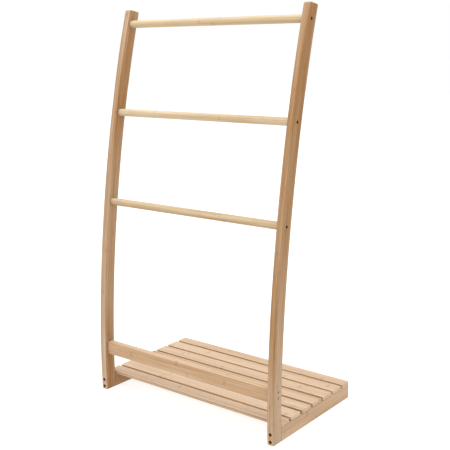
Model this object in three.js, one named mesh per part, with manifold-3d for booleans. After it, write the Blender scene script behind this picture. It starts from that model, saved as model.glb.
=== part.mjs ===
import * as THREE from 'three';
import { mergeVertices } from 'three/addons/utils/BufferGeometryUtils.js';
import Module from 'manifold-3d';

// A free-standing towel rack: two curved uprights, three round rungs, a cross rail and a slatted shelf.
// Millimetres. +X runs along the rungs to the right, +Y to the shelf's far end, +Z up.

// Driving dimensions
const innerWidth = 530; // between the uprights
const stockThickness = 18; // uprights, side rails and cross rail
const overallDepth = 351; // foot of the uprights to the back end of the shelf
const seam = 0.3; // gap left between touching pieces
const easing = 1.5; // how far the long edges are rounded
const smallEasing = 0.8; // the same on slats and rung ends

// Front edge of an upright, foot to head, as a Bezier curve in depth and height
const frontEdge = new THREE.CubicBezierCurve(
  new THREE.Vector2(0, 0),
  new THREE.Vector2(-12, 313),
  new THREE.Vector2(48, 723),
  new THREE.Vector2(130, 1007),
);
const footDepth = new THREE.Vector2(34, 0); // from the front edge to the back edge at the foot
const headDepth = new THREE.Vector2(32.5, -5); // the same at the head, which is cut on a slant
const headCorner = 3; // rounding of the head's two corners

const rungRadius = 9.5;
const rungHeights = { lower_rung: 514.5, middle_rung: 745.5, top_rung: 970.5 };
const rungSetback = 15.5; // rung axis behind the upright's front edge
const socketDepth = 9; // how far a rung goes into an upright

const crossRail = { height: 34, centreHeight: 118.5, front: 8 };
const sideRailHeight = 36;
const slat = { count: 7, width: 40, thickness: 10, gap: 8.7 };

// Screws: the head's top is at the origin and the shank points down. The seat is how far the head is sunk.
const rungScrew = { head: 3.4, headHeight: 3, shank: 2, length: 35, drive: 1.5, seat: 3, sides: 16 };
const railScrew = { head: 3, headHeight: 2.6, shank: 2, length: 45, drive: 1.4, seat: 0.6, sides: 16 };
const footScrew = { head: 4, headHeight: 4, shank: 2.2, length: 44, drive: 1.9, seat: 8, sides: 16 };
const slatScrew = { head: 3.6, headHeight: 2.6, shank: 1.9, length: 29, drive: 1.4, seat: 14, sides: 12 };
const railScrewSpacing = 15; // between the two screws at each end of the cross rail
const railScrewRise = 3; // how far the middle of that pair stands above the middle of the rail
const footScrewSpacing = 18.8; // between the two screws at the foot of each upright
const frontSlatScrewInset = 8; // the front slat's screws stand this far from its back edge

// Worked out from the dimensions above
const outerWidth = innerWidth + 2 * stockThickness;
const postCentre = innerWidth / 2 + stockThickness / 2;
const shelfFront = frontEdgeAt(sideRailHeight) + footDepth.x + seam;
const shelfTop = sideRailHeight + seam + slat.thickness;
const endSlatWidth =
  (overallDepth - shelfFront - (slat.count - 2) * slat.width - (slat.count - 1) * slat.gap) / 2;
const sides = { left: -1, right: 1 };

// Materials
const wood = (color, roughness) => new THREE.MeshStandardMaterial({ color, roughness, metalness: 0 });
const postWood = wood(0xb98f67, 0.55);
const rungWood = wood(0xe3c8a2, 0.5);
const railWood = wood(0xc9a27c, 0.55);
const slatWood = wood(0xe6ccaa, 0.5);
const darkSteel = new THREE.MeshStandardMaterial({ color: 0x3a2c22, roughness: 0.45, metalness: 0.9 });
const paleSteel = new THREE.MeshStandardMaterial({ color: 0xa8a29a, roughness: 0.4, metalness: 0.9 });

const wasm = await Module();
wasm.setup();

function frontEdgeAt(height) {
  let low = 0;
  let high = 1;
  for (let step = 0; step < 40; step += 1) {
    const middle = (low + high) / 2;
    if (frontEdge.getPoint(middle).y < height) low = middle;
    else high = middle;
  }
  return frontEdge.getPoint(low).x;
}

function solidOf(geometry) {
  const bare = geometry.clone();
  bare.deleteAttribute('normal');
  bare.deleteAttribute('uv');
  const merged = mergeVertices(bare);
  return new wasm.Manifold(new wasm.Mesh({
    numProp: 3,
    vertProperties: merged.attributes.position.array,
    triVerts: Uint32Array.from(merged.index.array),
  }));
}

function cut(geometry, tools) {
  const solid = tools.reduce((rest, tool) => rest.subtract(solidOf(tool)), solidOf(geometry));
  const mesh = solid.getMesh();
  const result = new THREE.BufferGeometry();
  result.setAttribute('position', new THREE.BufferAttribute(mesh.vertProperties, 3));
  result.setIndex(new THREE.BufferAttribute(mesh.triVerts, 1));
  result.computeVertexNormals();
  return result;
}

// Turned shape about Z from [radius, height] pairs, listed from the bottom up
function turned(profile, segments) {
  const points = profile.map(([radius, height]) => new THREE.Vector2(radius, height));
  return new THREE.LatheGeometry(points, segments).rotateX(Math.PI / 2);
}

// Straight bar along Z, centred, with its long edges and both ends eased
function bar(width, height, length, ease) {
  const x = width / 2;
  const y = height / 2;
  const section = new THREE.Shape();
  section.moveTo(-x, ease - y);
  section.quadraticCurveTo(-x, -y, ease - x, -y);
  section.lineTo(x - ease, -y);
  section.quadraticCurveTo(x, -y, x, ease - y);
  section.lineTo(x, y - ease);
  section.quadraticCurveTo(x, y, x - ease, y);
  section.lineTo(ease - x, y);
  section.quadraticCurveTo(-x, y, -x, y - ease);
  section.closePath();
  const endEase = ease / 2;
  return new THREE.ExtrudeGeometry(section, {
    depth: length - 2 * endEase,
    curveSegments: 3,
    bevelThickness: endEase,
    bevelSize: endEase,
    bevelOffset: -endEase,
    bevelSegments: 1,
  }).translate(0, 0, endEase - length / 2);
}

function addMesh(group, name, geometry, material, position = [0, 0, 0], rotation = [0, 0, 0]) {
  const mesh = new THREE.Mesh(geometry, material);
  mesh.name = name;
  mesh.position.set(...position);
  mesh.rotation.set(...rotation);
  group.add(mesh);
}

// Centres a shape that was cut in its place in the rack, so that its mesh can hold the place
function movedBack(geometry, centre) {
  return geometry.translate(...centre.map((value) => -value));
}

// Screws and the holes that take them
function screwGeometry(screw) {
  const tip = 2 * screw.shank;
  const edge = 0.4;
  const blank = turned([
    [0, -screw.length],
    [screw.shank, tip - screw.length],
    [screw.shank, -screw.headHeight],
    [screw.head, -screw.headHeight],
    [screw.head, -edge],
    [screw.head - edge, 0],
    [0, 0],
  ], screw.sides);
  const socket = new THREE.CylinderGeometry(screw.drive, screw.drive, screw.headHeight, 6)
    .rotateX(Math.PI / 2);
  return cut(blank, [socket]);
}

function screwHole(screw, position, rotation) {
  const pastSurface = 2;
  const hole = turned([
    [0, -screw.length - seam],
    [screw.shank + seam, -screw.length - seam],
    [screw.shank + seam, -screw.headHeight - seam],
    [screw.head + seam, -screw.headHeight - seam],
    [screw.head + seam, screw.seat + pastSurface],
    [0, screw.seat + pastSurface],
  ], screw.sides);
  const turn = new THREE.Quaternion().setFromEuler(new THREE.Euler(...rotation));
  const place = new THREE.Matrix4()
    .compose(new THREE.Vector3(...position), turn, new THREE.Vector3(1, 1, 1));
  return hole.applyMatrix4(place);
}

// Where every screw goes: one list that both the screws and their holes are made from
function sideScrew(name, screw, side, depth, height) {
  const position = [side * (outerWidth / 2 - screw.seat), depth, height];
  return { name, screw, position, rotation: [0, side * Math.PI / 2, 0] };
}

function rungScrews(sideName) {
  return Object.entries(rungHeights).map(([rung, height]) => sideScrew(
    `${sideName}_${rung}_screw`, rungScrew, sides[sideName], frontEdgeAt(height) + rungSetback, height,
  ));
}

function crossRailScrews(sideName) {
  const depth = crossRail.front + stockThickness / 2;
  return [['lower', -1], ['upper', 1]].map(([place, step]) => sideScrew(
    `${sideName}_cross_rail_${place}_screw`, railScrew, sides[sideName], depth,
    crossRail.centreHeight + railScrewRise + step * railScrewSpacing / 2,
  ));
}

function footScrews(sideName) {
  return [['lower', -1], ['upper', 1]].map(([place, step]) => {
    const height = sideRailHeight / 2 + step * footScrewSpacing / 2;
    return {
      name: `${sideName}_foot_${place}_screw`,
      screw: footScrew,
      position: [sides[sideName] * postCentre, frontEdgeAt(height) + footScrew.seat, height],
      rotation: [Math.PI / 2, 0, 0],
    };
  });
}

function slatScrews(sideName) {
  return slatPlaces.map(({ from, to }, index) => ({
    name: `${sideName}_slat_${index + 1}_screw`,
    screw: slatScrew,
    position: [
      sides[sideName] * postCentre,
      index === 0 ? to - frontSlatScrewInset : (from + to) / 2,
      slatScrew.seat,
    ],
    rotation: [Math.PI, 0, 0],
  }));
}

function slatPlace(index) {
  const isEnd = index === 0 || index === slat.count - 1;
  const from = index === 0
    ? shelfFront
    : shelfFront + endSlatWidth + slat.gap + (index - 1) * (slat.width + slat.gap);
  return { from, to: from + (isEnd ? endSlatWidth : slat.width) };
}

const slatPlaces = Array.from({ length: slat.count }, (_, index) => slatPlace(index));
const screws = Object.fromEntries(Object.keys(sides).map((sideName) => [sideName, {
  rungs: rungScrews(sideName),
  crossRail: crossRailScrews(sideName),
  foot: footScrews(sideName),
  slats: slatScrews(sideName),
}]));
const holesFor = (list) => list.map((one) => screwHole(one.screw, one.position, one.rotation));
const bothSides = (kind) => Object.values(screws).flatMap((side) => side[kind]);

// Uprights
function uprightOutline(setBack = 0) {
  const front = [frontEdge.v0, frontEdge.v1, frontEdge.v2, frontEdge.v3];
  const back = front.map((point, index) => point.clone()
    .add(footDepth.clone().lerp(headDepth, index / 3))
    .add(new THREE.Vector2(setBack, 0)));
  const alongHead = headDepth.clone().setLength(headCorner);
  const upFront = frontEdge.getTangent(1).setLength(headCorner);
  const frontTop = front[3].clone().sub(upFront);
  const backTop = back[3].clone().sub(upFront);
  const outline = new THREE.Shape();
  outline.moveTo(0, 0);
  outline.bezierCurveTo(front[1].x, front[1].y, front[2].x, front[2].y, frontTop.x, frontTop.y);
  outline.quadraticCurveTo(front[3].x, front[3].y, front[3].x + alongHead.x, front[3].y + alongHead.y);
  outline.lineTo(back[3].x - alongHead.x, back[3].y - alongHead.y);
  outline.quadraticCurveTo(back[3].x, back[3].y, backTop.x, backTop.y);
  outline.bezierCurveTo(back[2].x, back[2].y, back[1].x, back[1].y, back[0].x, back[0].y);
  outline.closePath();
  return outline;
}

// Stands an outline drawn in depth and height on its edge, centred on X
function standUp(outline, thickness, ease) {
  const options = {
    depth: thickness - 2 * ease,
    curveSegments: 20,
    bevelThickness: ease,
    bevelSize: ease,
    bevelOffset: -ease,
    bevelSegments: 2,
  };
  const depthAxis = new THREE.Vector3(0, 1, 0);
  const heightAxis = new THREE.Vector3(0, 0, 1);
  const thicknessAxis = new THREE.Vector3(1, 0, 0);
  return new THREE.ExtrudeGeometry(outline, options)
    .translate(0, 0, ease - thickness / 2)
    .applyMatrix4(new THREE.Matrix4().makeBasis(depthAxis, heightAxis, thicknessAxis));
}

function rungSocket(side, height) {
  const innerFace = side * innerWidth / 2;
  const deep = socketDepth + seam;
  return new THREE.CylinderGeometry(rungRadius + seam, rungRadius + seam, 2 * deep, 32)
    .rotateZ(Math.PI / 2)
    .translate(innerFace, frontEdgeAt(height) + rungSetback, height);
}

function addUpright(group, sideName) {
  const side = sides[sideName];
  const blank = standUp(uprightOutline(), stockThickness, easing).translate(side * postCentre, 0, 0);
  const { rungs, crossRail: rail, foot } = screws[sideName];
  const sockets = Object.values(rungHeights).map((height) => rungSocket(side, height));
  const geometry = cut(blank, [...sockets, ...holesFor([...rungs, ...rail, ...foot])]);
  addMesh(group, `${sideName}_upright`, geometry.translate(-side * postCentre, 0, 0), postWood,
    [side * postCentre, 0, 0]);
}

// Rungs: bored at both ends for their screws
function addRung(group, name, height) {
  const half = innerWidth / 2 + socketDepth;
  const bore = rungScrew.shank + seam;
  const boreEnd = outerWidth / 2 - rungScrew.seat - rungScrew.length - seam;
  const geometry = turned([
    [0, -boreEnd],
    [bore, -boreEnd],
    [bore, -half],
    [rungRadius - smallEasing, -half],
    [rungRadius, smallEasing - half],
    [rungRadius, half - smallEasing],
    [rungRadius - smallEasing, half],
    [bore, half],
    [bore, boreEnd],
    [0, boreEnd],
  ], 36);
  addMesh(group, name, cut(geometry, []), rungWood,
    [0, frontEdgeAt(height) + rungSetback, height], [0, Math.PI / 2, 0]);
}

function addCrossRail(group) {
  const centre = [0, crossRail.front + stockThickness / 2, crossRail.centreHeight];
  const blank = bar(crossRail.height, stockThickness, innerWidth - 2 * seam, easing)
    .rotateY(Math.PI / 2)
    .translate(...centre);
  const geometry = cut(blank, holesFor(bothSides('crossRail')));
  addMesh(group, 'cross_rail', movedBack(geometry, centre), railWood, centre);
}

// Side rails: the front end is scribed to the curve of the upright's back edge
function addSideRail(group, sideName) {
  const side = sides[sideName];
  const length = overallDepth - footDepth.x / 2;
  const centre = [side * postCentre, overallDepth - length / 2, sideRailHeight / 2];
  const blank = bar(stockThickness, sideRailHeight, length, easing)
    .rotateX(Math.PI / 2)
    .translate(...centre);
  const scribe = standUp(uprightOutline(seam), 2 * stockThickness, seam).translate(side * postCentre, 0, 0);
  const { foot, slats } = screws[sideName];
  const geometry = cut(blank, [scribe, ...holesFor([...foot, ...slats])]);
  addMesh(group, `${sideName}_side_rail`, movedBack(geometry, centre), railWood, centre);
}

function addSlat(group, index) {
  const { from, to } = slatPlaces[index];
  const centre = [0, (from + to) / 2, shelfTop - slat.thickness / 2];
  const blank = bar(slat.thickness, to - from, outerWidth, smallEasing)
    .rotateY(Math.PI / 2)
    .translate(...centre);
  const own = Object.values(screws).map((side) => side.slats[index]);
  const geometry = cut(blank, holesFor(own));
  addMesh(group, `slat_${index + 1}`, movedBack(geometry, centre), slatWood, centre);
}

function addScrews(group, list, material) {
  list.forEach(({ name, screw, position, rotation }) => {
    addMesh(group, name, screwGeometry(screw), material, position, rotation);
  });
}

function buildRack() {
  const rack = new THREE.Group();
  Object.keys(sides).forEach((sideName) => {
    addUpright(rack, sideName);
    addSideRail(rack, sideName);
  });
  Object.entries(rungHeights).forEach(([name, height]) => addRung(rack, name, height));
  addCrossRail(rack);
  slatPlaces.forEach((_, index) => addSlat(rack, index));
  addScrews(rack, bothSides('rungs'), darkSteel);
  addScrews(rack, bothSides('crossRail'), paleSteel);
  addScrews(rack, bothSides('foot'), darkSteel);
  addScrews(rack, bothSides('slats'), paleSteel);
  return rack;
}

// The origin is the centre of the rack's footprint, on the floor
const rack = buildRack();
const bounds = new THREE.Box3().setFromObject(rack, true);
rack.position.y = -(bounds.min.y + bounds.max.y) / 2;

export default rack;
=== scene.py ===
import math
import bmesh
import bpy
from mathutils import Matrix, Vector, geometry


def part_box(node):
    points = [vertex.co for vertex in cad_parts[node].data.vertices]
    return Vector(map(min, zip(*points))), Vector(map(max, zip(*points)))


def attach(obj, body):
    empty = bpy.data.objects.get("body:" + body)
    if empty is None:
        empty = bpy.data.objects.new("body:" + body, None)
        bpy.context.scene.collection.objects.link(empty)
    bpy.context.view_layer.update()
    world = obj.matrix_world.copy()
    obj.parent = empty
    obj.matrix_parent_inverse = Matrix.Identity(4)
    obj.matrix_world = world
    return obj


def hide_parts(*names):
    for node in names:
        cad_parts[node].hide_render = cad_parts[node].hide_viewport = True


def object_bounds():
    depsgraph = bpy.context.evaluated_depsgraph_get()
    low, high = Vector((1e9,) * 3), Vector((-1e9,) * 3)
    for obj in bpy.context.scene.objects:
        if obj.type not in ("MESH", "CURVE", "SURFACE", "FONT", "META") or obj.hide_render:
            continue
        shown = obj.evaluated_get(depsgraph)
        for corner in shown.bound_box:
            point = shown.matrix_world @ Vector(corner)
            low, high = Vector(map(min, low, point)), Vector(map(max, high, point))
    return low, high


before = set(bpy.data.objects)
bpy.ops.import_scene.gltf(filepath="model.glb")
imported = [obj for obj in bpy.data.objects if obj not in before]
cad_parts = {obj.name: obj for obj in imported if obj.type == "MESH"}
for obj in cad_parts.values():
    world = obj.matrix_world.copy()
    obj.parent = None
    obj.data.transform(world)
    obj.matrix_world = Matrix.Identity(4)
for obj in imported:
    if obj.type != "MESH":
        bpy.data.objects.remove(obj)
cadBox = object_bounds()
print("stage: frame loaded")

sides = ("left", "right")
rungNodes = ("lower_rung", "middle_rung", "top_rung")
slatCount = 7
seam = 0.0003  # gap between touching pieces
alongX = Matrix.Rotation(math.radians(90), 4, "Y")  # turns a shape made along Z to lie along X
white = (1, 1, 1, 1)

# The camera looks down a little, from the right of the front
view = {
    "azimuth": 37.76,
    "elevation": 11.85,
    "roll": -0.23,
    "distance": 2.104,
    "lens": 65.5,
    "sensor": 36,
    "aim": (0.0100, -0.0028, -0.0396),  # from the middle of the rack
}


def placeCamera():
    camera = bpy.data.objects.new("camera", bpy.data.cameras.new("camera"))
    camera.data.lens = view["lens"]
    camera.data.sensor_width = view["sensor"]
    middle = (Vector(cadBox[0]) + Vector(cadBox[1])) / 2
    turn = (
        Matrix.Rotation(math.radians(view["azimuth"]), 4, "Z")
        @ Matrix.Rotation(math.radians(90 - view["elevation"]), 4, "X")
        @ Matrix.Rotation(math.radians(view["roll"]), 4, "Z")
    )
    back = turn @ Vector((0, 0, view["distance"]))
    camera.matrix_world = Matrix.Translation(middle + Vector(view["aim"]) + back) @ turn
    bpy.context.scene.collection.objects.link(camera)
    bpy.context.scene.camera = camera


placeCamera()
print("stage: camera placed")


# Shader nodes
def addNode(tree, kind, settings=None, inputs=None):
    node = tree.nodes.new(kind)
    for name, value in (settings or {}).items():
        setattr(node, name, value)
    for name, value in (inputs or {}).items():
        if isinstance(value, bpy.types.NodeSocket):
            tree.links.new(value, node.inputs[name])
        else:
            node.inputs[name].default_value = value
    return node


def calc(tree, operation, first, second=0.0, third=0.0):
    inputs = {0: first, 1: second, 2: third}
    return addNode(tree, "ShaderNodeMath", {"operation": operation}, inputs).outputs[0]


def blendColour(tree, amount, first, second, mode="MIX"):
    node = addNode(tree, "ShaderNodeMix", {"data_type": "RGBA", "blend_type": mode})
    for name, value in (("Factor_Float", amount), ("A_Color", first), ("B_Color", second)):
        socket = next(one for one in node.inputs if one.identifier == name)
        if isinstance(value, bpy.types.NodeSocket):
            tree.links.new(value, socket)
        else:
            socket.default_value = value
    return next(one for one in node.outputs if one.identifier == "Result_Color")


def remap(tree, value, low, high, toLow=0.0, toHigh=1.0):
    inputs = {"Value": value, "From Min": low, "From Max": high, "To Min": toLow, "To Max": toHigh}
    return addNode(tree, "ShaderNodeMapRange", {"interpolation_type": "SMOOTHSTEP"}, inputs).outputs[0]


def noise(tree, vector, scale, detail, roughness=0.5):
    inputs = {"Vector": vector, "Scale": scale, "Detail": detail, "Roughness": roughness}
    return addNode(tree, "ShaderNodeTexNoise", inputs=inputs).outputs[0]


def stretched(tree, vector, factor):
    inputs = {0: vector, 1: (1, 1, factor)}
    return addNode(tree, "ShaderNodeVectorMath", {"operation": "MULTIPLY"}, inputs).outputs[0]


def grade(tree, value, stops):
    ramp = addNode(tree, "ShaderNodeValToRGB", inputs={0: value})
    while len(ramp.color_ramp.elements) < len(stops):
        ramp.color_ramp.elements.new(0.5)
    for element, (place, colour) in zip(ramp.color_ramp.elements, stops):
        element.position = place
        element.color = (*colour, 1)
    return ramp.outputs[0]


# Bamboo: strips glued side by side. Strip sizes are across and deep, shades run from dark to pale.
bamboo = {
    "upright": {
        "shades": (
            (0.00, (0.190, 0.070, 0.016)), (0.35, (0.300, 0.145, 0.045)),
            (0.65, (0.400, 0.260, 0.150)), (1.00, (0.520, 0.400, 0.280)),
        ),
        "strip": (0.0062, 0.00865),
        "stripContrast": 0.12,
        "coreTone": -0.11,
        "nodeEvery": 0.36,
    },
    "rail": {
        "shades": (
            (0.00, (0.240, 0.125, 0.055)), (0.35, (0.405, 0.250, 0.130)),
            (0.65, (0.525, 0.370, 0.235)), (1.00, (0.680, 0.540, 0.410)),
        ),
        "strip": (0.0062, 0.0116),
        "stripContrast": 0.08,
        "coreTone": 0.0,
        "nodeEvery": 0.31,
    },
    "slat": {
        "shades": (
            (0.00, (0.280, 0.150, 0.070)), (0.35, (0.500, 0.350, 0.225)),
            (0.65, (0.600, 0.465, 0.335)), (1.00, (0.700, 0.580, 0.455)),
        ),
        "strip": (0.0136, 0.0053),
        "stripContrast": 0.18,
        "coreTone": 0.0,
        "nodeEvery": 0.40,
    },
    "rung": {
        "shades": (
            (0.00, (0.250, 0.145, 0.065)), (0.35, (0.440, 0.313, 0.172)),
            (0.65, (0.560, 0.446, 0.296)), (1.00, (0.660, 0.560, 0.420)),
        ),
        "strip": (0.0066, 0.0066),
        "stripContrast": 0.16,
        "coreTone": 0.0,
        "nodeEvery": 0.33,
    },
}
grainLook = {
    "detail": 2.0,
    "fibre": {"scale": 1300.0, "stretch": 0.016, "weight": 0.55},
    "streak": {"scale": 330.0, "stretch": 0.010, "weight": 0.72},
    "cloud": {"scale": 12.0, "stretch": 0.28, "weight": 0.50},
    "fleck": {"scale": 2600.0, "stretch": 0.012, "range": (0.60, 0.74), "weight": 0.28},
    "fleckColour": (0.150, 0.070, 0.028, 1),
    "stripShift": (0.4, 0.4, 3.0),  # how far each strip's pattern may be shifted
    "nodeLine": {"width": 0.0011, "weight": 0.42},
    "nodeHalo": {"width": 0.0080, "weight": 0.26},
    "nodeColour": (0.170, 0.085, 0.038, 1),
    "nodeStrength": (0.3, 0.7),  # the least, and what chance adds
    "nodeWobble": {"scale": 160.0, "detail": 1.0, "reach": 0.0040},
    "core": {"middle": 1.5, "reach": 0.6},  # strips 1 and 2 of the four, counted from 0
    "coreFade": (0.22, 0.0),  # not darker at the first tone, fully at the second
    "glueWidth": 0.00016,
    "glueWeight": 0.34,
    "glueColour": (0.200, 0.105, 0.050, 1),
    "rosy": (1.0, 0.93, 0.90, 1),
    "rosyShare": 0.8,
    # painted shade: this tint darkens faces in the gaps between slats and on the walls of screw bores
    "paintedShadeTint": (0.90, 0.72, 0.38, 1),
    "roughness": (0.42, 0.22),  # the least, and what the fibres add
    "shine": 0.12,
    "bump": {"strength": 0.5, "distance": 0.00012, "node": 0.9, "fleck": -0.5, "glue": -0.6},
    "pieceLength": 1.6,  # each piece has its own stretch of grain, this long
}


# How many strips deep a point lies, and random numbers for the strip it is in
def findStrip(tree, strip, across, deep, pieceNumber):
    stripAcross = calc(tree, "FLOOR", calc(tree, "DIVIDE", across, strip[0]))
    stripDeep = calc(tree, "FLOOR", calc(tree, "DIVIDE", deep, strip[1]))
    key = addNode(tree, "ShaderNodeCombineXYZ", inputs={0: stripAcross, 1: stripDeep, 2: pieceNumber})
    chance = addNode(tree, "ShaderNodeTexWhiteNoise", {"noise_dimensions": "3D"}, {0: key.outputs[0]})
    return stripDeep, chance.outputs["Color"]


# The middle strips are a little darker where the piece is dark
def darkenCore(tree, tone, stripDeep, coreTone):
    core = calc(tree, "COMPARE", stripDeep, grainLook["core"]["middle"], grainLook["core"]["reach"])
    core = calc(tree, "MULTIPLY", core, remap(tree, tone, *grainLook["coreFade"]))
    return calc(tree, "MULTIPLY_ADD", core, coreTone, tone)


# Fibres, wider streaks, slow clouds and fine flecks, all drawn out along the grain
def grainLayers(tree, place):
    layers = {}
    for name in ("fibre", "streak", "cloud", "fleck"):
        drawnOut = stretched(tree, place, grainLook[name]["stretch"])
        layers[name] = noise(tree, drawnOut, grainLook[name]["scale"], grainLook["detail"])
    return layers


def woodColour(tree, look, layers, tone, draws):
    mixing = calc(tree, "MULTIPLY_ADD", calc(tree, "SUBTRACT", draws[1], 0.5), look["stripContrast"], 0.5)
    for name in ("fibre", "streak", "cloud"):
        swing = calc(tree, "SUBTRACT", layers[name], 0.5)
        mixing = calc(tree, "MULTIPLY_ADD", swing, grainLook[name]["weight"], mixing)
    base = grade(tree, calc(tree, "ADD", mixing, tone), look["shades"])
    rosy = calc(tree, "MULTIPLY", draws[2], grainLook["rosyShare"])
    return blendColour(tree, rosy, base, grainLook["rosy"], "MULTIPLY")


# Growth nodes: a faint wavy line across each strip, at its own places along it, with a soft halo
def growthNodes(tree, every, along, place, draws):
    wobbleLook = grainLook["nodeWobble"]
    least, more = grainLook["nodeStrength"]
    wobble = noise(tree, place, wobbleLook["scale"], wobbleLook["detail"])
    nodePlace = calc(tree, "MULTIPLY_ADD", draws[0], every, along)
    nodePlace = calc(tree, "MULTIPLY_ADD", wobble, wobbleLook["reach"], nodePlace)
    toNode = calc(tree, "PINGPONG", nodePlace, every / 2)
    strength = calc(tree, "MULTIPLY_ADD", draws[2], more, least)
    return {
        name: calc(tree, "MULTIPLY", remap(tree, toNode, grainLook[name]["width"], 0.0), strength)
        for name in ("nodeHalo", "nodeLine")
    }


# Glue lines run where two strips meet, across or deep
def glueLines(tree, strip, across, deep):
    toGlue = strip[0]  # no point is further away than this
    for place, size in ((across, strip[0]), (deep, strip[1])):
        away = calc(tree, "PINGPONG", place, size)
        for distance in (away, calc(tree, "SUBTRACT", size, away)):
            toGlue = calc(tree, "MINIMUM", distance, toGlue)
    return remap(tree, toGlue, grainLook["glueWidth"], 0.0)


def bambooMaterial(kind):
    look = bamboo[kind]
    material = bpy.data.materials.new(kind + "Bamboo")
    material.use_nodes = True
    tree = material.node_tree
    shader = tree.nodes["Principled BSDF"]
    shader.inputs["Specular IOR Level"].default_value = grainLook["shine"]
    grain = addNode(tree, "ShaderNodeAttribute", {"attribute_name": "grain"}).outputs["Vector"]
    toneNumberShade = addNode(tree, "ShaderNodeAttribute", {"attribute_name": "toneNumberShade"}).outputs["Vector"]
    tone, pieceNumber, paintedShadeAmount = addNode(tree, "ShaderNodeSeparateXYZ", inputs={0: toneNumberShade}).outputs
    across, deep, along = addNode(tree, "ShaderNodeSeparateXYZ", inputs={0: grain}).outputs

    stripDeep, chance = findStrip(tree, look["strip"], across, deep, pieceNumber)
    draws = addNode(tree, "ShaderNodeSeparateColor", inputs={0: chance}).outputs
    tone = darkenCore(tree, tone, stripDeep, look["coreTone"])
    shifted = addNode(
        tree, "ShaderNodeVectorMath", {"operation": "MULTIPLY_ADD"},
        {0: chance, 1: grainLook["stripShift"], 2: grain},
    ).outputs[0]
    layers = grainLayers(tree, shifted)
    flecks = remap(tree, layers["fleck"], *grainLook["fleck"]["range"])
    nodes = growthNodes(tree, look["nodeEvery"], along, shifted, draws)
    glue = glueLines(tree, look["strip"], across, deep)

    base = woodColour(tree, look, layers, tone, draws)
    for mask, weight, colour in (
        (flecks, grainLook["fleck"]["weight"], grainLook["fleckColour"]),
        (nodes["nodeHalo"], grainLook["nodeHalo"]["weight"], grainLook["nodeColour"]),
        (nodes["nodeLine"], grainLook["nodeLine"]["weight"], grainLook["nodeColour"]),
        (glue, grainLook["glueWeight"], grainLook["glueColour"]),
    ):
        base = blendColour(tree, calc(tree, "MULTIPLY", mask, weight), base, colour)
    # painted shade, in the gaps between slats and on the walls of screw bores
    base = blendColour(tree, paintedShadeAmount, base, grainLook["paintedShadeTint"], "MULTIPLY")
    tree.links.new(base, shader.inputs["Base Color"])

    least, more = grainLook["roughness"]
    tree.links.new(calc(tree, "MULTIPLY_ADD", layers["fibre"], more, least), shader.inputs["Roughness"])
    relief = grainLook["bump"]
    height = layers["fibre"]
    for name, mask in (("node", nodes["nodeHalo"]), ("fleck", flecks), ("glue", glue)):
        height = calc(tree, "MULTIPLY_ADD", mask, relief[name], height)
    bump = addNode(
        tree, "ShaderNodeBump",
        inputs={"Strength": relief["strength"], "Distance": relief["distance"], "Height": height},
    )
    tree.links.new(bump.outputs[0], shader.inputs["Normal"])
    return material


# The screws' steel: blackened at the rungs and feet, zinc plated elsewhere. The blackened steel is made
# darker still, as painted shade for the deep bores it sits in.
steel = {
    "dark": {"colour": (0.010, 0.006, 0.004), "worn": (0.030, 0.018, 0.010), "roughness": 0.55},
    "pale": {"colour": (0.56, 0.50, 0.43), "worn": (0.70, 0.65, 0.58), "roughness": 0.42},
}
steelLook = {
    "metallic": 0.9,
    "scuff": {"scale": 900.0, "detail": 4.0, "range": (0.52, 0.72)},
    "scuffRoughness": (-0.1, 0.25),  # added to the kind's own: always, and where it is scuffed
    "stain": {"scale": 220.0, "detail": 2.0, "weight": 0.25},
    "stainColour": (0.06, 0.035, 0.02, 1),
    "bump": {"strength": 0.3, "distance": 0.00005},
}


def steelMaterial(kind):
    look = steel[kind]
    material = bpy.data.materials.new(kind + "Steel")
    material.use_nodes = True
    tree = material.node_tree
    shader = tree.nodes["Principled BSDF"]
    shader.inputs["Metallic"].default_value = steelLook["metallic"]
    place = addNode(tree, "ShaderNodeTexCoord").outputs["Object"]
    scuffs = noise(tree, place, steelLook["scuff"]["scale"], steelLook["scuff"]["detail"])
    stain = noise(tree, place, steelLook["stain"]["scale"], steelLook["stain"]["detail"])
    worn = remap(tree, scuffs, *steelLook["scuff"]["range"])
    colour = blendColour(tree, worn, (*look["colour"], 1), (*look["worn"], 1))
    stained = calc(tree, "MULTIPLY", stain, steelLook["stain"]["weight"])
    colour = blendColour(tree, stained, colour, steelLook["stainColour"])
    tree.links.new(colour, shader.inputs["Base Color"])
    always, scuffed = steelLook["scuffRoughness"]
    rough = calc(tree, "MULTIPLY_ADD", scuffs, scuffed, look["roughness"] + always)
    tree.links.new(rough, shader.inputs["Roughness"])
    relief = steelLook["bump"]
    bump = addNode(
        tree, "ShaderNodeBump",
        inputs={"Strength": relief["strength"], "Distance": relief["distance"], "Height": scuffs},
    )
    tree.links.new(bump.outputs[0], shader.inputs["Normal"])
    return material


materials = {kind: bambooMaterial(kind) for kind in bamboo}
materials.update({kind: steelMaterial(kind) for kind in steel})
print("stage: materials made")


# Points closer than weld become one. Corners sharper than easeAbove are eased, and those that are still
# sharper than creaseAbove are shaded as creases.
meshing = {"weld": 0.000002, "easeAbove": math.radians(40), "creaseAbove": math.radians(38)}


def meshPiece(name, bm):
    bmesh.ops.remove_doubles(bm, verts=bm.verts, dist=meshing["weld"])
    bmesh.ops.recalc_face_normals(bm, faces=bm.faces)
    mesh = bpy.data.meshes.new(name)
    bm.to_mesh(mesh)
    bm.free()
    piece = bpy.data.objects.new(name, mesh)
    bpy.context.scene.collection.objects.link(piece)
    return piece


def easeEdges(bm, width, segments=3):
    edges = [
        edge for edge in bm.edges
        if len(edge.link_faces) == 2 and edge.calc_face_angle() > meshing["easeAbove"]
    ]
    bmesh.ops.bevel(
        bm, geom=edges, offset=width, segments=segments, profile=0.5, affect="EDGES", material=-1,
        clamp_overlap=True,
    )


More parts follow.
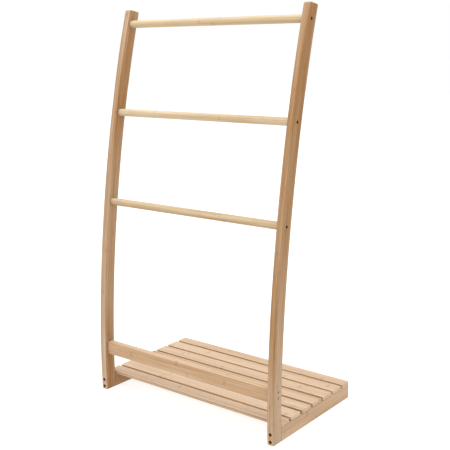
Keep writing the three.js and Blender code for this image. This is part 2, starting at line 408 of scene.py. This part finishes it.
def cutAway(piece, cutters):
    for cutter in cutters:
        modifier = piece.modifiers.new("cut", "BOOLEAN")
        modifier.operation = "DIFFERENCE"
        modifier.solver = "EXACT"
        modifier.object = cutter
    bpy.context.view_layer.update()
    shape = piece.evaluated_get(bpy.context.evaluated_depsgraph_get())
    whole = bpy.data.meshes.new_from_object(shape)
    whole.name = piece.name
    piece.modifiers.clear()
    piece.data = whole
    for cutter in cutters:
        bpy.data.objects.remove(cutter)


def finishPiece(piece, node, kind):
    piece.data.materials.clear()
    piece.data.materials.append(materials[kind])
    piece.data.shade_smooth()
    piece.data.set_sharp_from_angle(angle=meshing["creaseAbove"])
    shading = piece.modifiers.new("shading", "WEIGHTED_NORMAL")
    shading.keep_sharp = True
    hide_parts(node)
    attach(piece, "root")


# Each piece has a number, which gives it a grain of its own. These are the first of each kind.
firstNumber = {"upright": 1, "rung": 4, "crossRail": 9, "sideRail": 11, "slat": 21}


# "grain" places each point across the strips, through them and along the piece. The second attribute
# holds, for each corner of each face, the tone (the wood's own, with painted light and painted shade on
# some faces), the piece's number and how much painted shade darkens the face, in the gaps between slats
# and in screw bores.
def markGrain(piece, number, toGrain, toTone, toPaintedShade=lambda place, normal: 0.0):
    mesh = piece.data
    mesh.attributes.new("grain", "FLOAT_VECTOR", "POINT")
    mesh.attributes.new("toneNumberShade", "FLOAT_VECTOR", "CORNER")
    shift = Vector((seam, seam, grainLook["pieceLength"] * number))  # keeps faces off the first glue line
    places = [value for vertex in mesh.vertices for value in toGrain(vertex.co) + shift]
    mesh.attributes["grain"].data.foreach_set("vector", places)
    toneNumberShade = []
    for face in mesh.polygons:
        for index in face.vertices:
            place = mesh.vertices[index].co
            toneNumberShade += [toTone(place, face.normal), number, toPaintedShade(place, face.normal)]
    mesh.attributes["toneNumberShade"].data.foreach_set("vector", toneNumberShade)


def grainAlongX(low):
    return lambda place: Vector((place.y - low.y, place.z - low.z, place.x))


# Screws: the head's top is at the origin and the shank points down, until screwPlace puts it in the rack
screwKinds = {
    "rung": {
        "metal": "dark", "drive": "hex",
        "head": 0.0034, "headHeight": 0.003, "shank": 0.002, "seat": 0.003,
    },
    "cross_rail": {
        "metal": "pale", "drive": "cross",
        "head": 0.003, "headHeight": 0.0026, "shank": 0.002, "seat": 0.0006,
    },
    "foot": {
        "metal": "dark", "drive": "hex",
        "head": 0.004, "headHeight": 0.004, "shank": 0.0022, "seat": 0.008,
    },
    "slat": {
        "metal": "pale", "drive": "cross",
        "head": 0.0036, "headHeight": 0.0026, "shank": 0.0019, "seat": 0.014,
    },
}
screwShape = {
    "sides": 32, "threadSides": 24, "pitch": 0.0018, "ringsPerPitch": 6, "threadDepth": 0.00045,
    "threadStart": 0.010, "tip": 0.005, "rim": 0.0006, "rimInset": 0.86, "rimDrop": 0.0001,
    "hexRadius": 0.0017, "crossArm": 0.0018, "crossWidth": 0.0005, "driveDepth": 0.0018,
    "pastSurface": 0.002,  # how far a hole's cutter stands out of the wood
}


def screwKindOf(node):
    return next(kind for kind in screwKinds if kind in node)


def screwFacing(node):
    kind = screwKindOf(node)
    if kind == "foot":
        return Vector((0, -1, 0))
    if kind == "slat":
        return Vector((0, 0, -1))
    return Vector((-1, 0, 0)) if node.startswith("left") else Vector((1, 0, 0))


def screwPlace(node):
    low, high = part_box(node)
    facing = screwFacing(node)
    length = max(high - low)
    top = (low + high) / 2 + facing * length / 2
    turn = Vector((0, 0, 1)).rotation_difference(facing).to_matrix().to_4x4()
    return Matrix.Translation(top) @ turn, length


def spinProfile(bm, profile, steps):
    verts = [bm.verts.new((radius, 0, height)) for radius, height in profile]
    edges = [bm.edges.new(pair) for pair in zip(verts, verts[1:])]
    bmesh.ops.spin(
        bm, geom=verts + edges, cent=(0, 0, 0), axis=(0, 0, 1), dvec=(0, 0, 0),
        angle=2 * math.pi, steps=steps, use_merge=True, use_duplicate=False,
    )
    bmesh.ops.remove_doubles(bm, verts=bm.verts, dist=meshing["weld"])


# Pushes a plain shank's rings in and out so that one ridge winds down it to the point
def windThread(bm, kind, length):
    shape = screwShape
    for vert in bm.verts:
        radius = math.hypot(vert.co.x, vert.co.y)
        if radius == 0 or vert.co.z > -shape["threadStart"]:
            continue
        turn = vert.co.z / shape["pitch"] - math.atan2(vert.co.y, vert.co.x) / (2 * math.pi)
        ridge = abs(turn % 1 - 0.5) * 2
        taper = min(1.0, (vert.co.z + length) / shape["tip"])
        wanted = (kind["shank"] - shape["threadDepth"] * (1 - ridge ** 2)) * taper
        vert.co.x *= wanted / radius
        vert.co.y *= wanted / radius


def screwProfile(kind, length):
    shape = screwShape
    plain = kind["shank"] - shape["threadDepth"] / 2
    under = -kind["headHeight"]
    step = shape["pitch"] / shape["ringsPerPitch"]
    rings = int((length - shape["threadStart"]) / step)
    return [(0, -length)] + [(plain, -length + step * (ring + 1)) for ring in range(rings)] + [
        (plain, under), (kind["head"], under), (kind["head"], -shape["rim"]),
        (kind["head"] * shape["rimInset"], -shape["rimDrop"]), (0, 0),
    ]


# A hexagon is cut by one six-sided plug, a cross by two bars
def driveCutters(kind, place):
    shape = screwShape
    cutters = []
    if kind["drive"] == "hex":
        plug = bmesh.new()
        bmesh.ops.create_cone(
            plug, cap_ends=True, segments=6, radius1=shape["hexRadius"], radius2=shape["hexRadius"],
            depth=2 * shape["driveDepth"],
        )
        cutters.append(plug)
    else:
        arm, width = shape["crossArm"], shape["crossWidth"]
        for halfSizes in ((arm, width, shape["driveDepth"]), (width, arm, shape["driveDepth"])):
            bar = bmesh.new()
            bmesh.ops.create_cube(bar, size=2)
            bmesh.ops.scale(bar, vec=halfSizes, verts=bar.verts)
            cutters.append(bar)
    for cutter in cutters:
        bmesh.ops.transform(cutter, matrix=place, verts=cutter.verts)
    return [meshPiece("drive", cutter) for cutter in cutters]


def makeScrew(node):
    kind = screwKinds[screwKindOf(node)]
    place, length = screwPlace(node)
    bm = bmesh.new()
    spinProfile(bm, screwProfile(kind, length), screwShape["threadSides"])
    windThread(bm, kind, length)
    bmesh.ops.transform(bm, matrix=place, verts=bm.verts)
    screw = meshPiece(node.replace("_screw", "_fastener"), bm)
    cutAway(screw, driveCutters(kind, place))
    finishPiece(screw, node, kind["metal"])


# A hole for each screw: the head's bore runs out past the surface
def holeCutter(nodes):
    bm = bmesh.new()
    for node in nodes:
        kind = screwKinds[screwKindOf(node)]
        place, length = screwPlace(node)
        shank = kind["shank"] + seam
        bore = kind["head"] + seam
        under = -kind["headHeight"] - seam
        mouth = kind["seat"] + screwShape["pastSurface"]
        hole = bmesh.new()
        profile = [
            (0, -length - seam), (shank, -length - seam), (shank, under),
            (bore, under), (bore, mouth), (0, mouth),
        ]
        spinProfile(hole, profile, screwShape["sides"])
        bmesh.ops.transform(hole, matrix=place, verts=hole.verts)
        bmesh.ops.recalc_face_normals(hole, faces=hole.faces)
        scratch = bpy.data.meshes.new("hole")
        hole.to_mesh(scratch)
        hole.free()
        bm.from_mesh(scratch)
        bpy.data.meshes.remove(scratch)
    return meshPiece("holes", bm)


screwNodes = sorted(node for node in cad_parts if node.endswith("_screw"))
for node in screwNodes:
    makeScrew(node)
print("stage: screws made", len(screwNodes))

# Uprights: the front edge is a Bezier curve in depth and height. Tones run evenly from foot to head.
upright = {
    "curve": ((0, 0), (-0.012, 0.313), (0.048, 0.723), (0.130, 1.007)),
    "footDepth": (0.034, 0.0),
    "headDepth": (0.0325, -0.005),
    "steps": 56,
    "headRound": 0.004,
    "headSegments": 5,
    "easing": 0.0017,
    "socketDepth": 0.0093,
    "socketSegments": 64,
    # the left side's two lowest tones are darker partly as painted shade, for the shaded lower inner face
    "sideTones": {"left": (0.00, 0.13, 0.11, -0.03, 0.06), "right": (0.21, 0.17, 0.03, -0.06, -0.05)},
    "frontTones": {"left": (0.34, 0.24, 0.06, 0.12, 0.22), "right": (0.22, 0.02, 0.06, -0.06, 0.10)},
    # painted light: faces on the uprights' heads that look up are made paler
    "headLightTone": 0.25,
    # painted shade: the walls of the screws' bores are made darker
    "boreShadeTone": -0.5,
    "wallFacing": 0.5,  # a bore's wall faces its axis less than this
}


def uprightEdges():
    front = [Vector((0, depth, height)) for depth, height in upright["curve"]]
    foot = Vector((0, *upright["footDepth"]))
    head = Vector((0, *upright["headDepth"]))
    back = [point + foot.lerp(head, index / 3) for index, point in enumerate(front)]
    lines = [geometry.interpolate_bezier(*points, upright["steps"] + 1) for points in (front, back)]
    start = cadBox[0][1] - min(point.y for point in lines[0])
    return [[point + Vector((0, start, 0)) for point in line] for line in lines]


frontLine, backLine = uprightEdges()


def depthAt(height, line):
    for low, high in zip(line, line[1:]):
        if height <= high.z:
            break
    return low.lerp(high, (height - low.z) / (high.z - low.z)).y


def socketCutter(side):
    bm = bmesh.new()
    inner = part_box("cross_rail")[1 if side == "right" else 0].x
    for node in rungNodes:
        low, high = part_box(node)
        radius = (high.z - low.z) / 2 + seam
        ring = bmesh.ops.create_cone(
            bm, cap_ends=True, segments=upright["socketSegments"], radius1=radius, radius2=radius,
            depth=2 * upright["socketDepth"],
        )
        middle = (low + high) / 2
        place = Matrix.Translation((inner, middle.y, middle.z)) @ alongX
        bmesh.ops.transform(bm, matrix=place, verts=ring["verts"])
    return meshPiece("sockets", bm)


def uprightTone(side, place, normal):
    tones = []
    for name in ("sideTones", "frontTones"):
        stops = upright[name][side]
        rise = min(1.0, max(0.0, place.z / frontLine[-1].z)) * (len(stops) - 1)
        index = min(int(rise), len(stops) - 2)
        tones.append(stops[index] + (stops[index + 1] - stops[index]) * (rise - index))
    facing = abs(normal.y)
    # painted light on faces that look up
    head = upright["headLightTone"] * max(0.0, normal.z) ** 2
    return tones[0] * (1 - facing) + tones[1] * facing + head


# Tells whether a point is on the wall of one of these screws' bores
def boreFinder(nodes):
    bores = []
    for node in nodes:
        reach = screwKinds[screwKindOf(node)]["head"] + 2 * seam
        bores.append((screwPlace(node)[0].translation, screwFacing(node), reach))

    def inBore(place, normal):
        for top, facing, reach in bores:
            away = place - top
            off = away - facing * away.dot(facing)
            if off.length < reach and abs(normal.dot(facing)) < upright["wallFacing"]:
                return True
        return False

    return inBore


# Draws a four-sided section up between the two edge lines, and returns the face at the head
def drawSection(bm, low, high):
    section = bmesh.ops.create_grid(bm, x_segments=1, y_segments=1, size=0.5)["verts"]

    def shapeSection(verts, front, back):
        corners = ((low.x, front), (high.x, front), (low.x, back), (high.x, back))
        for vert, (x, point) in zip(verts, corners):
            vert.co = Vector((x, point.y, point.z))

    shapeSection(section, frontLine[0], backLine[0])
    base = top = section[0].link_faces[0]
    for front, back in list(zip(frontLine, backLine))[1:]:
        made = bmesh.ops.extrude_face_region(bm, geom=[top])["geom"]
        if top.is_valid and top is not base:
            bmesh.ops.delete(bm, geom=[top], context="FACES_ONLY")
        top = next(one for one in made if isinstance(one, bmesh.types.BMFace))
        middle = top.calc_center_median().y
        ring = sorted(top.verts, key=lambda vert: (vert.co.y > middle, vert.co.x))
        shapeSection(ring, front, back)
    bmesh.ops.recalc_face_normals(bm, faces=bm.faces)
    return top


def roundHead(bm, top, across):
    longEdges = [edge for edge in top.edges if abs(edge.verts[0].co.x - edge.verts[1].co.x) > across / 2]
    bmesh.ops.bevel(
        bm, geom=longEdges, offset=upright["headRound"], segments=upright["headSegments"], profile=0.5,
        affect="EDGES", material=-1, clamp_overlap=True,
    )


def makeUpright(side, number):
    node = side + "_upright"
    low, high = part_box(node)
    bm = bmesh.new()
    top = drawSection(bm, low, high)
    roundHead(bm, top, high.x - low.x)
    easeEdges(bm, upright["easing"])
    piece = meshPiece(side + "Upright", bm)
    own = [name for name in screwNodes if name.startswith(side) and screwKindOf(name) != "slat"]
    cutAway(piece, [socketCutter(side), holeCutter(own)])
    inBore = boreFinder(own)

    # painted shade on the bore walls: a darker tone and the painted shade tint
    def toneAt(place, normal):
        return uprightTone(side, place, normal) + (upright["boreShadeTone"] if inBore(place, normal) else 0.0)

    markGrain(
        piece, number,
        lambda place: Vector((place.x - low.x, place.y - depthAt(place.z, frontLine), place.z)),
        toneAt, lambda place, normal: 1.0 if inBore(place, normal) else 0.0,
    )
    finishPiece(piece, node, "upright")


for number, side in enumerate(sides, start=firstNumber["upright"]):
    makeUpright(side, number)
print("stage: uprights made")

# Rungs: round dowels with a small rounded chamfer at each end
rung = {
    "segments": 64,
    "chamfer": 0.0009,
    "chamferSegments": 2,
    "tones": {"lower_rung": -0.08, "middle_rung": 0.10, "top_rung": 0.02},
}


def makeRung(node, number):
    low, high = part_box(node)
    middle = (low + high) / 2
    radius = (high.z - low.z) / 2
    bm = bmesh.new()
    bmesh.ops.create_cone(
        bm, cap_ends=True, segments=rung["segments"], radius1=radius, radius2=radius,
        depth=high.x - low.x,
    )
    easeEdges(bm, rung["chamfer"], rung["chamferSegments"])
    bmesh.ops.transform(bm, matrix=Matrix.Translation(middle) @ alongX, verts=bm.verts)
    piece = meshPiece(node.replace("_rung", "RungDowel"), bm)
    cutAway(piece, [holeCutter([side + "_" + node + "_screw" for side in sides])])
    markGrain(piece, number, grainAlongX(low), lambda place, normal: rung["tones"][node])
    finishPiece(piece, node, "rung")


for number, node in enumerate(rungNodes, start=firstNumber["rung"]):
    makeRung(node, number)
print("stage: rungs made")

# Rails and slats: straight boards with eased edges. Slat tones run front to back.
board = {
    "easing": 0.0013,
    "slatEasing": 0.0014,
    "gapShade": 0.60,
    "gapFacing": 0.95,  # a gap's wall faces front or back more than this
    "litFrom": 0.262,  # light reaches into the gaps further than this from the middle
    "slatTones": (0.02, 0.08, -0.04, -0.06, -0.02, 0.06, 0.0),
    # the left side rail is darker partly as painted shade, for its shaded inner face under the shelf
    "railTones": {"left": -0.26, "right": 0.08},
    # painted shade for the slats' front and back faces, then a painted highlight for their long eased
    # edges
    "wallShadeTone": -0.16,
    "edgeHighlightTone": 0.35,
    "edgeFacing": 0.2,  # an eased edge faces both up and sideways more than this
    # painted light: the cross rail's upward faces are made paler
    "topLightTone": 0.26,
}


def makeBoard(node, name, easing, holeNodes, reshape=None):
    low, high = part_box(node)
    bm = bmesh.new()
    bmesh.ops.create_cube(bm, size=1)
    bmesh.ops.scale(bm, vec=high - low, verts=bm.verts)
    bmesh.ops.translate(bm, vec=(low + high) / 2, verts=bm.verts)
    if reshape:
        reshape(bm)
    easeEdges(bm, easing)
    piece = meshPiece(name, bm)
    cutAway(piece, [holeCutter(holeNodes)])
    return piece, low


def makeSlat(slat, number):
    node = "slat_%d" % slat
    holes = ["%s_slat_%d_screw" % (side, slat) for side in sides]
    litFrom = board["litFrom"]

    # rings round the board where it leaves the dark between the side rails
    def addRings(bm):
        for x in (-litFrom, litFrom):
            whole = list(bm.verts) + list(bm.edges) + list(bm.faces)
            bmesh.ops.bisect_plane(bm, geom=whole, plane_co=(x, 0, 0), plane_no=(1, 0, 0))

    piece, low = makeBoard(node, "slatBoard%d" % slat, board["slatEasing"], holes, addRings)

    # painted shade on the slats' front and back walls inside the gaps, left off at the ends where light
    # reaches in
    def paintedShadeAmount(place, normal):
        facesOut = (slat == 1 and normal.y < 0) or (slat == slatCount and normal.y > 0)
        isWall = abs(normal.y) >= board["gapFacing"] and not facesOut
        return board["gapShade"] if isWall and abs(place.x) <= litFrom + seam else 0.0

    # the long eased edges get a painted highlight, paler than the faces; the front and back faces get
    # painted shade
    def toneAt(place, normal):
        eased = min(abs(normal.y), normal.z) > board["edgeFacing"]
        paintedLightAndShade = board["edgeHighlightTone"] if eased else board["wallShadeTone"] * abs(normal.y)
        return board["slatTones"][slat - 1] + paintedLightAndShade

    markGrain(piece, number, grainAlongX(low), toneAt, paintedShadeAmount)
    finishPiece(piece, node, "slat")


def makeCrossRail(number):
    holes = [name for name in screwNodes if "cross_rail" in name]
    piece, low = makeBoard("cross_rail", "crossRailBoard", board["easing"], holes)
    # painted light on the faces that look up
    markGrain(
        piece, number, grainAlongX(low), lambda place, normal: board["topLightTone"] * max(0.0, normal.z),
    )
    finishPiece(piece, "cross_rail", "rail")


# A side rail's front end is scribed to the back of its upright
def makeSideRail(side, number):
    node = side + "_side_rail"
    own = [name for name in screwNodes if name.startswith(side)]
    holes = [name for name in own if screwKindOf(name) in ("foot", "slat")]

    def scribeFront(bm):
        middle = sum(vert.co.y for vert in bm.verts) / len(bm.verts)
        for vert in bm.verts:
            if vert.co.y < middle:
                vert.co.y = depthAt(vert.co.z, backLine) + seam

    piece, low = makeBoard(node, side + "SideRailBoard", board["easing"], holes, scribeFront)
    markGrain(
        piece, number, lambda place: Vector((place.x - low.x, place.z - low.z, place.y)),
        lambda place, normal: board["railTones"][side],
    )
    finishPiece(piece, node, "rail")


makeCrossRail(firstNumber["crossRail"])
for number, side in enumerate(sides, start=firstNumber["sideRail"]):
    makeSideRail(side, number)
for number, slat in enumerate(range(1, slatCount + 1), start=firstNumber["slat"]):
    makeSlat(slat, number)
print("stage: boards made")

# A white floor that glows a little, like a light table, and one large soft lamp overhead
studio = {
    "floorSize": 30.0,
    "floorColour": (0.40, 0.40, 0.40, 1),
    "floorRoughness": 0.9,
    "floorGlow": 0.75,
    "worldStrength": 1.0,
    "lamp": {"size": 3.0, "energy": 68.0, "place": (-0.35, -0.5, 3.2), "aim": (0, 0, 0.4)},
}


def makeFloor():
    bm = bmesh.new()
    bmesh.ops.create_grid(bm, x_segments=1, y_segments=1, size=studio["floorSize"] / 2)
    floor = meshPiece("floor", bm)
    material = bpy.data.materials.new("floor")
    material.use_nodes = True
    shader = material.node_tree.nodes["Principled BSDF"]
    shader.inputs["Base Color"].default_value = studio["floorColour"]
    shader.inputs["Roughness"].default_value = studio["floorRoughness"]
    shader.inputs["Emission Color"].default_value = white
    shader.inputs["Emission Strength"].default_value = studio["floorGlow"]
    floor.data.materials.append(material)


def makeLamp():
    settings = studio["lamp"]
    lamp = bpy.data.lights.new("lamp", "AREA")
    lamp.shape = "DISK"
    lamp.size = settings["size"]
    lamp.energy = settings["energy"]
    light = bpy.data.objects.new("lamp", lamp)
    place = Vector(settings["place"])
    aim = Vector(settings["aim"]) - place
    light.matrix_world = Matrix.Translation(place) @ aim.to_track_quat("-Z", "Y").to_matrix().to_4x4()
    bpy.context.scene.collection.objects.link(light)


def makeWorld():
    world = bpy.data.worlds.new("studio")
    world.use_nodes = True
    background = world.node_tree.nodes["Background"]
    background.inputs["Color"].default_value = white
    background.inputs["Strength"].default_value = studio["worldStrength"]
    bpy.context.scene.world = world


makeFloor()
makeLamp()
makeWorld()
bpy.context.scene.view_settings.view_transform = "Standard"
print("stage: studio made")
